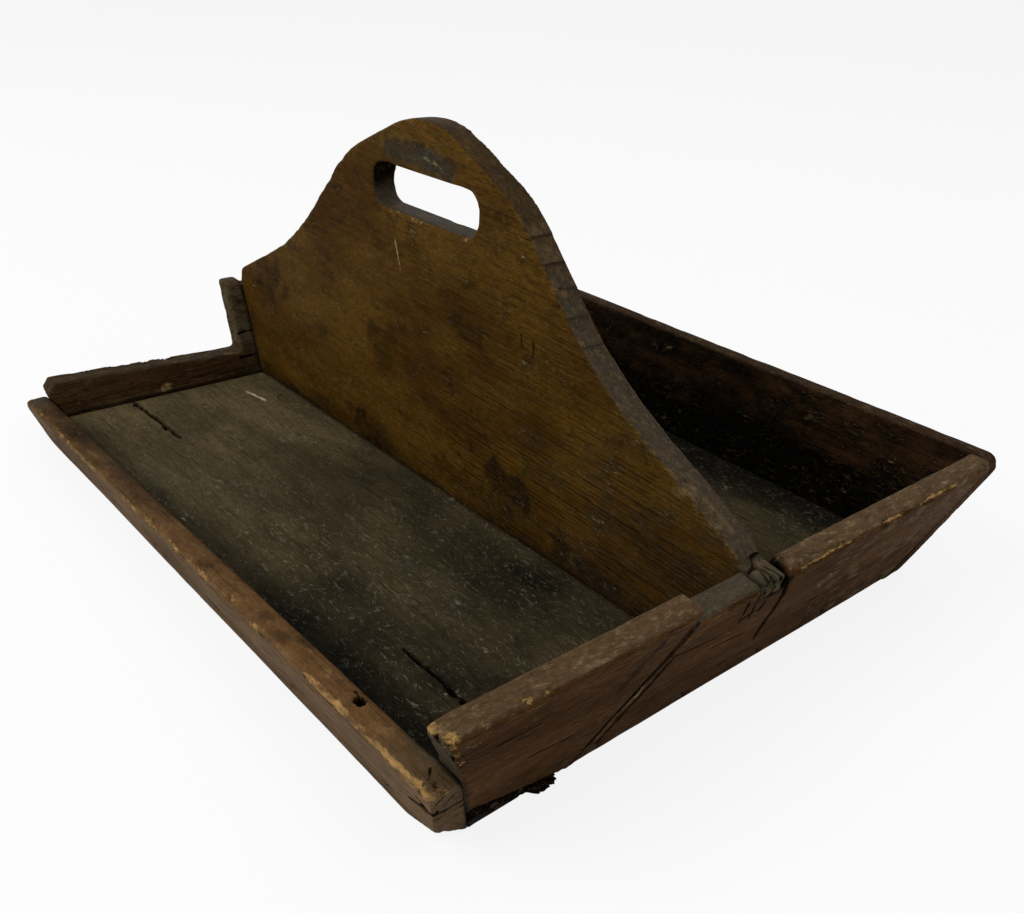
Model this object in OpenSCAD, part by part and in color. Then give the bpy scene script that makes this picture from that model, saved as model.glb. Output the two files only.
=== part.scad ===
// Knife tray: four splayed, nailed walls round a floor board, with a central divider that rises
// to an ogee-topped handle with a hand hole. The tray is old: the left side board has split down
// to a low rail, and both end boards are broken to the left of the divider.
//
// X runs along the divider towards the near end, Y runs across towards the full-height side and
// Z is up. The origin is the middle of the base, and the tray stands on z = 0. Sizes are in mm.

/* [Tray] */
// Outside length of the base
base_l = 368; // [330:1:420]
// Outside width of the base
base_w = 290; // [265:1:330]
// Height of the full walls
wall_h = 69; // [62:0.5:80]
// Outward lean of the walls, in degrees
wall_lean = 20.8; // [14:0.2:25]
// Thickness of the wall boards
wall_t = 12.4; // [10:0.2:15]
// Radius of the worn upper edges of the walls
edge_r = 3; // [1:0.25:4]
// Radius of the worn upper corners of the right side board
side_corner_r = 7; // [2:0.5:10]

/* [Floor board] */
// Thickness of the floor board, which lies between the walls
floor_t = 18.5; // [15:0.5:22]
// Distance of the drying cracks from the middle of the tray
check_y = 101; // [80:1:106]
// Length of the drying crack at each end of the floor board
check_l = 56; // [20:1:90]
// Width of a drying crack at the end of the board
check_w = 1.6; // [0.6:0.2:3]

/* [Divider and handle] */
// Thickness of the divider board
divider_t = 14.5; // [11:0.5:18]
// Distance of the divider from the middle of the tray, towards the left side
divider_off = 8; // [0:0.5:16]
// Height of the crown of the handle above the table
crown_z = 199.5; // [190:0.5:215]
// Distance of the handle's middle from the middle of the tray, towards the far end
handle_off = 8.5; // [0:0.5:14]
// Radius of the crown
crown_r = 59; // [30:1:75]
// Slope of the crown's sides, in degrees
crown_slope = 25; // [20:0.5:30]
// Distance from the handle's middle to the corner of the shoulder, before it is rounded
shoulder_x = 66; // [60:0.5:72]
// Radius of the shoulder
shoulder_r = 80; // [40:1:90]
// Slope below the shoulder, in degrees
shoulder_slope = 47; // [42:0.5:52]
// Distance from the handle's middle to the corner of the flare, before it is rounded
flare_x = 121; // [114:0.5:128]
// Radius of the hollow flare
flare_r = 180; // [90:1:190]
// Height above the walls at which the flare reaches the near end
end_rise = 3; // [1:0.5:8]
// Radius of the divider's upper corners
corner_r = 8; // [2:0.5:12]
// Length of the hand hole
hole_l = 82; // [74:0.5:92]
// Height of the hand hole
hole_h = 20.5; // [17:0.5:24]
// Radius of the hand hole's corners
hole_r = 8; // [4:0.5:8.5]
// Height of wood between the hand hole and the crown
grip_h = 25; // [21:0.5:32]
// Height of the tongues that sit in the end boards
tongue_h = 10; // [7:0.5:16]
// Opening beside a tongue in its slot
slot_gap = 2.5; // [0.5:0.1:4]
// Length of the crack that runs down from the near slot
slot_crack_l = 40; // [20:1:46]
// Slant of that crack from upright, in degrees
slot_crack_lean = 18; // [10:1:26]
// Width of that crack at the slot
slot_crack_w = 1.2; // [0.4:0.1:2]

/* [Left rail] */
// Height of the rail at its near end
rail_near_h = 45; // [40:0.5:56]
// Height of the rail at its far end
rail_far_h = 26; // [22.5:0.5:32]
// Height of the split in the near end of the rail
rail_split_z = 25; // [22:0.5:27]
// Length of that split
rail_split_l = 36; // [20:1:80]
// Width of that split at the end of the rail
rail_split_w = 1.6; // [0.6:0.1:2.4]
// Length of the rail's bottom edge that is worn away at its near end
toe_l = 18; // [8:0.5:26]
// Width of the end's bottom edge that is worn away there
toe_w = 12; // [6:0.5:13]
// Height of the corner that is worn away there
toe_h = 12; // [5:0.5:16]

/* [Near end board] */
// Distance from the left corner of the base to the foot of the slanting split
split_in = 60; // [53:0.5:63]
// Slant of that split from upright, in degrees
split_lean = 25; // [18:0.5:28]
// Opening of the split at the top of the split-off piece
split_gap = 2.6; // [0.8:0.1:4]
// Opening of the split at its foot
split_seam = 0.05; // [0.02:0.01:0.3]
// Height that the split-off piece stands above the wall
piece_rise = 7; // [2:0.5:9]
// Reach of that piece's upper left corner over the rail, beyond the fit between the sides
piece_over = 4.6; // [0.5:0.1:7]
// Height of the bottom strip at the corner of the tray
strip_h = 15; // [13:0.5:18]
// Opening between that strip and the piece above it, at the corner
strip_gap = 2.5; // [1:0.1:4]
// Distance from the foot of the split to the tip of the strip
strip_tip = 5; // [3:0.5:6]

/* [Far end board] */
// Height of the broken left half at the corner of the tray
low_corner_h = 36.5; // [30:0.5:46]
// Width and height of the worn-off corner at that end
low_corner_cut = 6.5; // [1:0.5:10]
// Height of the broken left half beside the stub
low_stub_h = 32; // [24:0.5:44]
// Width of the stub beside the divider
stub_w = 10.5; // [8:0.5:20]
// Height that the stub stands above the wall
stub_rise = 4; // [0.5:0.5:7]

/* [Nails] */
// Length of a nail
nail_l = 38; // [33:0.5:42]
// Width of a nail below its head
nail_w = 3; // [2.4:0.1:3.4]
// Width of a nail at its tip
nail_tip_w = 1.4; // [1:0.1:2.2]
// Thickness of a nail
nail_t = 2.2; // [1.6:0.1:2.6]
// Width of a nail head
nail_head_w = 4.2; // [3.6:0.1:5]
// Height of a nail head
nail_head_h = 3.2; // [2.8:0.1:3.8]
// Thickness of a nail head
nail_head_t = 1; // [0.6:0.1:1.6]
// Depth of a nail head below the surface
nail_sink = 1.5; // [0.8:0.1:2.5]
// Room round a nail in its hole
nail_room = 0.05; // [0.02:0.01:0.12]
// Number of nails along each side board
side_nails = 6; // [4:1:8]
// Number of nails along each end board
end_nails = 6; // [4:2:6]
// Number of nails up into the divider
divider_nails_n = 3; // [2:1:5]
// Distance of the outer floor nails from the corners of the base
nail_inset = 24; // [18:0.5:30]
// Height of the floor nails in the side boards
side_nail_z = 11; // [9.5:0.5:12.5]
// Height of the floor nails in the end boards
end_nail_z = 5.5; // [4.5:0.25:6]
// Height of the lower corner nails
corner_nail_low = 15; // [14:0.5:17]
// Height of the corner nail in the rail's near end
corner_nail_mid = 33; // [30:0.5:36]
// Height of the upper corner nails
corner_nail_high = 48; // [42:0.5:54]

/* [Hidden] */
$fn = 48;

// Outward run of a wall for each unit of height
run = tan(wall_lean);
// Thickness of a leaning wall, measured level
wall_w = wall_t / cos(wall_lean);
half_l = base_l / 2;
half_w = base_w / 2;
// Longer than any piece, for cuts that run right through
reach = base_l + base_w;
// Width of the sheet that a lofted end starts from
slice_w = 0.1;

// Height of the top of the split-off piece of the near end board
piece_h = wall_h + piece_rise;
// Height of the bottom of the slots that hold the divider's tongues
slot_z = wall_h - tongue_h;
// Sides of the divider and of its slots
divider_left = -divider_off - divider_t / 2;
divider_right = divider_left + divider_t;
slot_right = divider_right + slot_gap;
hole_z = crown_z - grip_h - hole_h / 2;

// Distance of a wall's outer and inner faces from the middle, at a height
function end_out(z) = half_l + run * z;
function end_in(z) = end_out(z) - wall_w;
function side_out(z) = half_w + run * z;
function side_in(z) = side_out(z) - wall_w;

// Corners of the handle's outline on one side of its middle, before they are rounded
peak = [0, crown_z + crown_r * (1 / cos(crown_slope) - 1)];
shoulder = peak + [shoulder_x, -shoulder_x * tan(crown_slope)];
flare = shoulder + (flare_x - shoulder_x) * [1, -tan(shoulder_slope)];
// Height of the near end of the flare, its fall for each unit of length, and its far end's height
near_z = wall_h + end_rise;
fall = (flare.y - near_z) / (end_in(near_z) + handle_off - flare.x);
far_z = (flare.y - fall * (end_in(0) - handle_off - flare.x)) / (1 + run * fall);

// Left edge of the slanting split in the near end board, at a height
function split_at(z) = split_in - half_w + z * tan(split_lean);

// Evenly spaced places from -far to far
function spread(far, count) = [for (i = [0 : count - 1]) far * (2 * i / (count - 1) - 1)];

// Geometry of one rounded corner: tangent points, centre and turn
function unit(v) = v / norm(v);
function back(p, i) = unit(p[(i + len(p) - 1) % len(p)] - p[i]);
function ahead(p, i) = unit(p[(i + 1) % len(p)] - p[i]);
function half_angle(p, i) = acos(back(p, i) * ahead(p, i)) / 2;
function tangent(p, i, r) = r / tan(half_angle(p, i));
function centre(p, i, r) = p[i] + unit(back(p, i) + ahead(p, i)) * r / sin(half_angle(p, i));
function turns_in(p, i) = cross(ahead(p, i), back(p, i)) < 0;

// Outline through corner points given anticlockwise, each corner rounded by its own radius
module rounded(points, radii) {
    corners = [for (i = [0 : len(points) - 1]) if (radii[i] > 0) i];
    chords = [
        for (i = [0 : len(points) - 1])
            each radii[i] > 0
                ? [points[i] + back(points, i) * tangent(points, i, radii[i]),
                   points[i] + ahead(points, i) * tangent(points, i, radii[i])]
                : [points[i]]
    ];
    difference() {
        union() {
            polygon(chords);
            for (i = corners)
                if (!turns_in(points, i))
                    translate(centre(points, i, radii[i])) circle(radii[i]);
        }
        for (i = corners)
            if (turns_in(points, i))
                translate(centre(points, i, radii[i])) circle(radii[i]);
    }
}

// Extrudes an outline drawn in X and Z along Y
module along_y(from, to) {
    translate([0, to, 0])
        rotate([90, 0, 0])
            linear_extrude(to - from) children();
}

// Extrudes an outline drawn in Y and Z along X
module along_x(from, to) {
    translate([from, 0, 0])
        rotate([90, 0, 90])
            linear_extrude(to - from) children();
}

// Section of a leaning wall whose outer face meets the table at a distance from the middle
module wall_section(outer, height) {
    inner = outer - wall_w;
    rounded(
        [[inner, 0], [outer, 0], [outer + run * height, height], [inner + run * height, height]],
        [0, 0, edge_r, edge_r]
    );
}

// Space between two facing planes that lean outwards, up to a height, with rounded upper corners
module between(half, height, radius = 0) {
    top = half + run * height;
    rounded([[-half, 0], [half, 0], [top, height], [-top, height]], [0, 0, radius, radius]);
}

// End board at the near end, from one place across the tray to another, fitted between the sides
module end_board(height, from = -reach, to = reach) {
    intersection() {
        along_y(from, to) wall_section(half_l, height);
        along_x(0, reach) between(half_w - wall_w, height);
    }
}

// Side board at the right side, cut off in the planes of the end boards' outer faces
module side_board(height) {
    intersection() {
        along_x(-reach, reach) wall_section(half_w, height);
        along_y(0, reach) between(half_l, height, side_corner_r);
    }
}

// Cut nail along X with its head's face at the origin, larger all round by the room given
module cut_nail(room = 0) {
    translate([0, -nail_head_w / 2 - room, -nail_head_h / 2 - room])
        cube([nail_head_t + room, nail_head_w + 2 * room, nail_head_h + 2 * room]);
    translate([0, 0, -nail_t / 2 - room])
        linear_extrude(nail_t + 2 * room)
            polygon([
                [0, -nail_w / 2 - room],
                [nail_l + room, -nail_tip_w / 2 - room],
                [nail_l + room, nail_tip_w / 2 + room],
                [0, nail_w / 2 + room]
            ]);
}

// Hole for a cut nail, open outwards from the head
module nail_hole() {
    cut_nail(nail_room);
    translate([-nail_l, -nail_head_w / 2 - nail_room, -nail_head_h / 2 - nail_room])
        cube([nail_l + nail_head_t, nail_head_w + 2 * nail_room, nail_head_h + 2 * nail_room]);
}

// Places the children as the floor nails of the right side board
module at_side_nails() {
    for (x = spread(half_l - nail_inset, side_nails))
        translate([x, side_out(side_nail_z) - nail_sink, side_nail_z])
            rotate([0, 0, -90]) children();
}

// Places the children as the floor nails of the near end board
module at_end_nails() {
    for (y = spread(half_w - nail_inset, end_nails))
        translate([end_out(end_nail_z) - nail_sink, y, end_nail_z])
            rotate([0, 0, 180]) children();
}

// Places the children as a nail through the right side board into the near end board
module at_corner(z) {
    translate([end_out(z) - wall_w / 2, side_out(z) - nail_sink, z])
        rotate([0, 0, -90]) children();
}

// Places the children as all corner nails: two at each right corner and one at each left corner
module at_corners() {
    for (z = [corner_nail_low, corner_nail_high]) {
        at_corner(z) children();
        mirror([1, 0, 0]) at_corner(z) children();
    }
    mirror([0, 1, 0]) at_corner(corner_nail_mid) children();
    mirror([0, 1, 0]) mirror([1, 0, 0]) at_corner(corner_nail_low) children();
}

// Places the children as the nails through the far end board into the divider's end
module at_divider_end() {
    for (z = [corner_nail_mid, corner_nail_high])
        translate([-end_out(z) + nail_sink, -divider_off, z]) children();
}

// Places the children as the nails up through the floor board into the divider
module at_divider_foot() {
    for (x = spread(half_l - base_l / (divider_nails_n + 1), divider_nails_n))
        translate([x, -divider_off, nail_sink])
            rotate([0, -90, 0]) children();
}

// Drying crack that narrows from the near end of the floor board
module drying_crack() {
    linear_extrude(floor_t)
        polygon([
            [end_in(floor_t) - check_l, -check_y],
            [reach, -check_y - check_w * reach / check_l / 2],
            [reach, -check_y + check_w * reach / check_l / 2]
        ]);
}

module floor_board() {
    color("#4b4239")
        difference() {
            intersection() {
                along_y(-reach, reach) between(half_l - wall_w, floor_t);
                along_x(-reach, reach) between(half_w - wall_w, floor_t);
            }
            for (side = [0, 1]) {
                mirror([side, 0, 0]) drying_crack();
                mirror([0, side, 0]) at_side_nails() nail_hole();
                mirror([side, 0, 0]) at_end_nails() nail_hole();
            }
            at_divider_foot() nail_hole();
        }
}

// Outline of the divider board, seen from the left side
module divider_outline() {
    translate([-handle_off, 0])
        rounded(
            [
                [handle_off - end_in(floor_t), floor_t],
                [handle_off + end_in(floor_t), floor_t],
                [handle_off + end_in(near_z), near_z],
                flare,
                shoulder,
                peak,
                [-shoulder.x, shoulder.y],
                [-flare.x, flare.y],
                [handle_off - end_in(far_z), far_z]
            ],
            [0, 0, corner_r, flare_r, shoulder_r, crown_r, shoulder_r, flare_r, corner_r]
        );
}

// Outline of the tongue that reaches through the near end board
module tongue_outline() {
    polygon([
        [end_in(slot_z) - run * tongue_h, slot_z],
        [end_out(slot_z), slot_z],
        [end_out(wall_h), wall_h],
        [end_in(wall_h) - run * tongue_h, wall_h]
    ]);
}

module hand_hole() {
    half = [hole_l / 2, hole_h / 2];
    translate([-handle_off, hole_z])
        rounded(
            [-half, [half.x, -half.y], half, [-half.x, half.y]],
            [hole_r, hole_r, hole_r, hole_r]
        );
}

module divider_handle() {
    color("#6a4a26")
        difference() {
            union() {
                along_y(divider_left, divider_right) divider_outline();
                for (side = [0, 1])
                    mirror([side, 0, 0])
                        along_y(divider_left, divider_right) tongue_outline();
            }
            along_y(-reach, reach) hand_hole();
            at_divider_foot() nail_hole();
            at_divider_end() nail_hole();
        }
}

// Space beyond the plane that cuts off the worn lower corner at the rail's near end
module worn_toe() {
    along = [-toe_l, 0, 0];
    across = [0, toe_w, 0];
    up = toe_h * [run, -run, 1];
    normal = unit(cross(up - along, across - along));
    translate([half_l, -half_w, 0] + along)
        rotate([0, acos(normal.z), atan2(normal.y, normal.x)])
            translate([-reach / 2, -reach / 2, -reach]) cube(reach);
}

// What is left of the left side board: its broken top runs down towards the far end
module left_side_rail() {
    slice_x = end_out(rail_near_h);
    color("#7a5230")
        difference() {
            intersection() {
                mirror([0, 1, 0])
                    hull() {
                        along_x(-slice_x, -slice_x + slice_w) wall_section(half_w, rail_far_h);
                        along_x(slice_x, slice_x + slice_w) wall_section(half_w, rail_near_h);
                    }
                along_y(-reach, 0) between(half_l, rail_near_h);
            }
            along_y(-reach, 0)
                polygon([
                    [end_out(rail_split_z) - rail_split_l, rail_split_z],
                    [reach, rail_split_z - rail_split_w * reach / rail_split_l / 2],
                    [reach, rail_split_z + rail_split_w * reach / rail_split_l / 2]
                ]);
            worn_toe();
            mirror([0, 1, 0]) at_side_nails() nail_hole();
            at_corners() nail_hole();
        }
}

module right_side_board() {
    color("#4a382a")
        difference() {
            side_board(wall_h);
            at_side_nails() nail_hole();
            at_corners() nail_hole();
        }
}

// Slot for a tongue of the divider, open at the top of the near end board
module tongue_slot() {
    translate([0, divider_left, slot_z])
        cube([reach, slot_right - divider_left, wall_h]);
}

// Crack that runs down and away from the near slot
module slot_crack() {
    top = [slot_right, slot_z];
    tip = top + slot_crack_l * [sin(slot_crack_lean), -cos(slot_crack_lean)];
    along_x(0, reach)
        polygon([top - [slot_crack_w, 0], tip, top + [0, slot_crack_w]]);
}

module near_end_board() {
    color("#62472f")
        difference() {
            intersection() {
                end_board(wall_h);
                along_x(0, reach)
                    polygon([[split_at(0), 0], [reach, 0], [reach, wall_h], [split_at(wall_h), wall_h]]);
            }
            tongue_slot();
            slot_crack();
            at_end_nails() nail_hole();
            at_corners() nail_hole();
        }
}

// Left third of the near end board, above the split-off strip and beyond the slanting split, with
// its upper corner reaching over the rail
module near_end_left_piece() {
    corner_z = strip_h + strip_gap;
    color("#694a31")
        difference() {
            intersection() {
                along_y(-reach, 0) wall_section(half_l, piece_h);
                along_x(0, reach)
                    polygon([
                        [-side_in(0), 0],
                        [0, 0],
                        [0, piece_h],
                        [-side_in(piece_h) - piece_over, piece_h],
                        [-side_in(rail_near_h), rail_near_h]
                    ]);
                along_x(0, reach)
                    polygon([
                        [split_at(0) - split_seam, 0],
                        [split_at(piece_h) - split_gap, piece_h],
                        [-reach, piece_h],
                        [-reach, corner_z],
                        [-half_w, corner_z]
                    ]);
            }
            at_end_nails() nail_hole();
            at_corners() nail_hole();
        }
}

module near_end_bottom_strip() {
    color("#4c3827")
        difference() {
            intersection() {
                end_board(wall_h);
                along_x(0, reach) polygon([[split_at(0) - strip_tip, 0], [-half_w, strip_h], [-half_w, 0]]);
            }
            at_end_nails() nail_hole();
        }
}

// What is left of the left half of the far end board, drawn at the near end
module low_left_half() {
    stub_left = divider_left - stub_w;
    corner = [-side_in(low_corner_h), low_corner_h];
    intersection() {
        end_board(wall_h, -reach, stub_left);
        along_x(0, reach)
            polygon([
                [stub_left, 0],
                [stub_left, low_stub_h],
                corner + [low_corner_cut, 0],
                corner - [0, low_corner_cut],
                [-reach, low_corner_h - low_corner_cut],
                [-reach, 0]
            ]);
    }
}

// Far end board: a low left half, a stub, the slot and the whole right half
module far_end_board() {
    color("#54402e")
        mirror([1, 0, 0])
            difference() {
                union() {
                    low_left_half();
                    end_board(wall_h + stub_rise, divider_left - stub_w, divider_left);
                    end_board(wall_h, divider_left, reach);
                }
                tongue_slot();
                at_end_nails() nail_hole();
                mirror([1, 0, 0]) {
                    at_corners() nail_hole();
                    at_divider_end() nail_hole();
                }
            }
}

module left_rail_nails() {
    color("#2f2a26") mirror([0, 1, 0]) at_side_nails() cut_nail();
}

module right_side_nails() {
    color("#2f2a26") at_side_nails() cut_nail();
}

module near_end_nails() {
    color("#2f2a26") at_end_nails() cut_nail();
}

module far_end_nails() {
    color("#2f2a26") {
        mirror([1, 0, 0]) at_end_nails() cut_nail();
        at_divider_end() cut_nail();
    }
}

module corner_nails() {
    color("#2f2a26") at_corners() cut_nail();
}

module divider_nails() {
    color("#2f2a26") at_divider_foot() cut_nail();
}

floor_board();
divider_handle();
left_side_rail();
right_side_board();
near_end_board();
near_end_left_piece();
near_end_bottom_strip();
far_end_board();
left_rail_nails();
right_side_nails();
near_end_nails();
far_end_nails();
corner_nails();
divider_nails();
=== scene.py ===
# %% [markdown]
# An old pine knife tray: four splayed walls nailed round a floor, and a divider that rises to a
# handle. The solids of the frame give every board its true size and place. What they lack is age,
# so this lesson copies each board, wears it, splits it and gives it a finish of old pine.

# %% Load the frame
import math

import bmesh
import bpy
import numpy as np
from mathutils import Matrix, Vector, noise
from mathutils.bvhtree import BVHTree


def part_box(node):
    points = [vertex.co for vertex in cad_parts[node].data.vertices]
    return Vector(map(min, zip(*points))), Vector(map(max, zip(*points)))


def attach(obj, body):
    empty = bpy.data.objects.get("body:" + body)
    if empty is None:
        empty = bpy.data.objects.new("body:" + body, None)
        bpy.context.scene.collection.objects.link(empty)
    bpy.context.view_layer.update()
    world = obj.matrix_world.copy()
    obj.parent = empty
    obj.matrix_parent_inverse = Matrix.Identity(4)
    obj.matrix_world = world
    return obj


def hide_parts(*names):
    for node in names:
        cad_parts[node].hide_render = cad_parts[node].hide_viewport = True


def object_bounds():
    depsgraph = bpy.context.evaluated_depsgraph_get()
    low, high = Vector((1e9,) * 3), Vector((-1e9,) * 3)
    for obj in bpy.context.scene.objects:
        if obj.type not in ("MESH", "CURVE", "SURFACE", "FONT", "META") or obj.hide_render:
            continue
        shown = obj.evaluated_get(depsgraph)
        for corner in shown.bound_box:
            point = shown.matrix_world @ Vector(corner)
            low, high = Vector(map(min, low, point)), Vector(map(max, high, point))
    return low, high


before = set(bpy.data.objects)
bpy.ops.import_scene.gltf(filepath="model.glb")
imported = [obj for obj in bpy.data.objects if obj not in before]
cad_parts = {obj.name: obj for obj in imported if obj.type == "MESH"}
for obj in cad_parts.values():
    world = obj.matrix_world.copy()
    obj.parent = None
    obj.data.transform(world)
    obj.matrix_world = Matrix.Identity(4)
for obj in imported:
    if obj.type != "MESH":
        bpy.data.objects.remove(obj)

MM = 0.001
cad_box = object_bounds()
print("boards and nails in the frame:", sorted(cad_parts))

# %% [markdown]
# The camera stands where the photographer stood: in front of the near left corner, a little above
# the handle. Lens, place and turn were found together, by matching the straight edges of the boards.
# Heading, dip and roll are turned one after another: a camera that is aimed at an object has no roll.

# %% Camera
IMAGE_WIDTH = 1024
FOCAL_PIXELS = 1038.8
CAMERA_PLACE = Vector((383.6, -301.2, 279.0)) * MM
HEADING, DIP, ROLL = (math.radians(angle) for angle in (48.07, 27.03, 3.54))

camera = bpy.data.objects.new("camera", bpy.data.cameras.new("camera"))
camera.data.sensor_fit = "HORIZONTAL"
camera.data.lens = camera.data.sensor_width * FOCAL_PIXELS / IMAGE_WIDTH
camera.data.clip_start = 10 * MM
camera.location = CAMERA_PLACE
turn = Matrix.Rotation(HEADING, 3, "Z") @ Matrix.Rotation(math.pi / 2 - DIP, 3, "X")
camera.rotation_euler = (turn @ Matrix.Rotation(ROLL, 3, "Z")).to_euler()
bpy.context.scene.collection.objects.link(camera)
bpy.context.scene.camera = camera
print("lens in mm:", round(camera.data.lens, 2))

# %% [markdown]
# Every material and the world are built from shader nodes. One small helper adds a node, applies its
# settings and fills its sockets with a value or a link, so that each finish reads as a short list. A
# node given as a value stands for its first output in use. Colours are picked as sRGB hex values,
# which shaders need as linear light.

# %% Node helpers
RGBA = {"data_type": "RGBA"}
SMOOTH = {"interpolation_type": "SMOOTHSTEP"}


def add(tree, kind, inputs=(), **settings):
    node = tree.nodes.new("ShaderNode" + kind)
    for name, value in settings.items():
        setattr(node, name, value)
    for socket, value in dict(inputs).items():
        if isinstance(value, bpy.types.Node):
            value = next(output for output in value.outputs if output.enabled)
        if isinstance(value, bpy.types.NodeSocket):
            tree.links.new(value, node.inputs[socket])
        else:
            node.inputs[socket].default_value = value
    return node


def linear(hex_colour):
    parts = [int(hex_colour[i : i + 2], 16) / 255 for i in (1, 3, 5)]
    return (*(p / 12.92 if p <= 0.04045 else ((p + 0.055) / 1.055) ** 2.4 for p in parts), 1.0)


def new_material(name):
    material = bpy.data.materials.new(name)
    material.use_nodes = True
    material.node_tree.nodes.clear()
    return material, material.node_tree


# %% [markdown]
# The tray stands on a sheet of white paper, which is one flat face. It glows a little for the camera
# alone: that keeps it white to the edge of the picture without adding light to the wood, and it still
# shows the soft shadow under the tray. A plain white face would turn grey towards the back.

# %% White paper
PAPER_SIZE = 60.0
PAPER_GLOW = 0.85

# Matt paper: no gloss at all, so the tray leaves nothing on it but a soft shadow
paper_white, tree = new_material("matt_white_paper")
matt = add(tree, "BsdfDiffuse", {"Color": linear("#f4f4f4")})
glow = add(tree, "Emission", {"Color": linear("#ffffff"), "Strength": 1.0})
rays = add(tree, "LightPath")
seen = add(tree, "Math", {0: rays.outputs["Is Camera Ray"], 1: PAPER_GLOW}, operation="MULTIPLY")
paper_mix = add(tree, "MixShader", {0: seen, 1: matt, 2: glow})
add(tree, "OutputMaterial", {"Surface": paper_mix})

bm = bmesh.new()
bmesh.ops.create_grid(bm, x_segments=1, y_segments=1, size=PAPER_SIZE / 2)
paper = bpy.data.objects.new("paper", bpy.data.meshes.new("paper"))
bm.to_mesh(paper.data)
bm.free()
paper.data.materials.append(paper_white)
bpy.context.scene.collection.objects.link(paper)
print("paper in metres:", PAPER_SIZE)

# %% [markdown]
# A big soft light stands on the left, so the tray's left faces and upper edges are light and the right
# compartment lies in the divider's shade. A weaker one from above keeps that shade from going black.
# The world is white to the camera and in reflections, and dimmer as a light.

# %% World and lamps
WORLD_STRENGTH = 0.42

world = bpy.data.worlds.new("studio")
world.use_nodes = True
tree = world.node_tree
tree.nodes.clear()
rays = add(tree, "LightPath")
shown = add(tree, "Math", {0: rays.outputs["Is Camera Ray"], 1: rays.outputs["Is Glossy Ray"]},
            operation="MAXIMUM")
level = add(tree, "MapRange", {"Value": shown, "To Min": WORLD_STRENGTH, "To Max": 1.0})
sky = add(tree, "Background", {"Color": linear("#ffffff"), "Strength": level})
add(tree, "OutputWorld", {"Surface": sky})
bpy.context.scene.world = world
bpy.context.scene.view_settings.view_transform = "Standard"


def soft_lamp(name, place, size, power):
    lamp = bpy.data.objects.new(name, bpy.data.lights.new(name, "AREA"))
    lamp.data.size = size
    lamp.data.energy = power
    lamp.location = place
    lamp.rotation_euler = (-Vector(place)).to_track_quat("-Z", "Y").to_euler()
    bpy.context.scene.collection.objects.link(lamp)


soft_lamp("left_window", place=(-0.5, -1.9, 1.7), size=1.5, power=36)
soft_lamp("top_fill", place=(1.1, 0.3, 2.2), size=1.8, power=14)

# %% [markdown]
# A solid of the frame has flat faces and clean edges, and a board that has been handled for a century
# has neither. To wear it we need points all over it, not just at its corners. The Remesh modifier in
# voxel mode covers a merged copy of the board with an even grid of small quads.

# %% Copy a board onto an even grid
SAME_POINT = 0.001 * MM


def read(piece, values="co"):
    points = np.empty(len(piece.data.vertices) * 3, np.float32)
    if values == "co":
        piece.data.vertices.foreach_get("co", points)
    else:
        piece.data.vertex_normals.foreach_get("vector", points)
    return points.reshape(-1, 3).astype(np.float64)


def write(piece, points):
    piece.data.vertices.foreach_set("co", points.astype(np.float32).ravel())
    piece.data.update()


def evaluated(piece):
    graph = bpy.context.evaluated_depsgraph_get()
    mesh = bpy.data.meshes.new_from_object(piece.evaluated_get(graph))
    piece.modifiers.clear()
    return mesh


def even_copy(node, grid):
    bm = bmesh.new()
    bm.from_mesh(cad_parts[node].data)
    bmesh.ops.remove_doubles(bm, verts=bm.verts, dist=SAME_POINT)
    mesh = bpy.data.meshes.new(node + "_worn")
    bm.to_mesh(mesh)
    bm.free()
    piece = bpy.data.objects.new(node + "_worn", mesh)
    bpy.context.scene.collection.objects.link(piece)
    remesh = piece.modifiers.new("even_grid", "REMESH")
    remesh.mode = "VOXEL"
    remesh.voxel_size = grid * MM
    piece.data = evaluated(piece)
    piece.data.materials.clear()
    return piece


# %% [markdown]
# The wear is worked out with arrays of points. A field is a noise of a size in mm, which can be
# stretched along the grain. A ramp rises from 0 at one place to 1 at another, and `facing` tells how
# far the surface looks in a direction. What the finish needs to know later is kept on the mesh as
# layers, one number from 0 to 1 for each point.

# %% Fields, ramps and layers
SEED_STEP = 17.31
UP, NEAR, FAR, LEFT, RIGHT = (0, 0, 1), (1, 0, 0), (-1, 0, 0), (0, -1, 0), (0, 1, 0)


def field(points, size, seed, stretch=(1, 1, 1)):
    moved = points / (np.array(stretch) * size * MM) + SEED_STEP * seed
    return np.array([noise.noise(p) for p in moved])


def ramp(values, start, end):
    return np.clip((values - start) / (end - start), 0, 1)


def facing(piece, direction, gain, least):
    return np.clip(gain * (read(piece, "normal") @ np.array(direction)) - least, 0, 1)


def attribute(piece, name, values=None):
    layer = piece.data.attributes.get(name) or piece.data.attributes.new(name, "FLOAT", "POINT")
    if values is None:
        values = np.empty(len(piece.data.vertices), np.float32)
        layer.data.foreach_get("value", values)
        return values.astype(np.float64)
    layer.data.foreach_set("value", np.clip(values, 0, 1).astype(np.float32))


def mark(piece, layer, amount):
    attribute(piece, layer, np.maximum(attribute(piece, layer), amount))


def smoothed(piece, passes):
    smooth = piece.modifiers.new("worn", "SMOOTH")
    smooth.factor = 0.5
    smooth.iterations = passes
    mesh = evaluated(piece)
    points = np.empty(len(mesh.vertices) * 3, np.float32)
    mesh.vertices.foreach_get("co", points)
    bpy.data.meshes.remove(mesh)
    return points.reshape(-1, 3).astype(np.float64)


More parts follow.
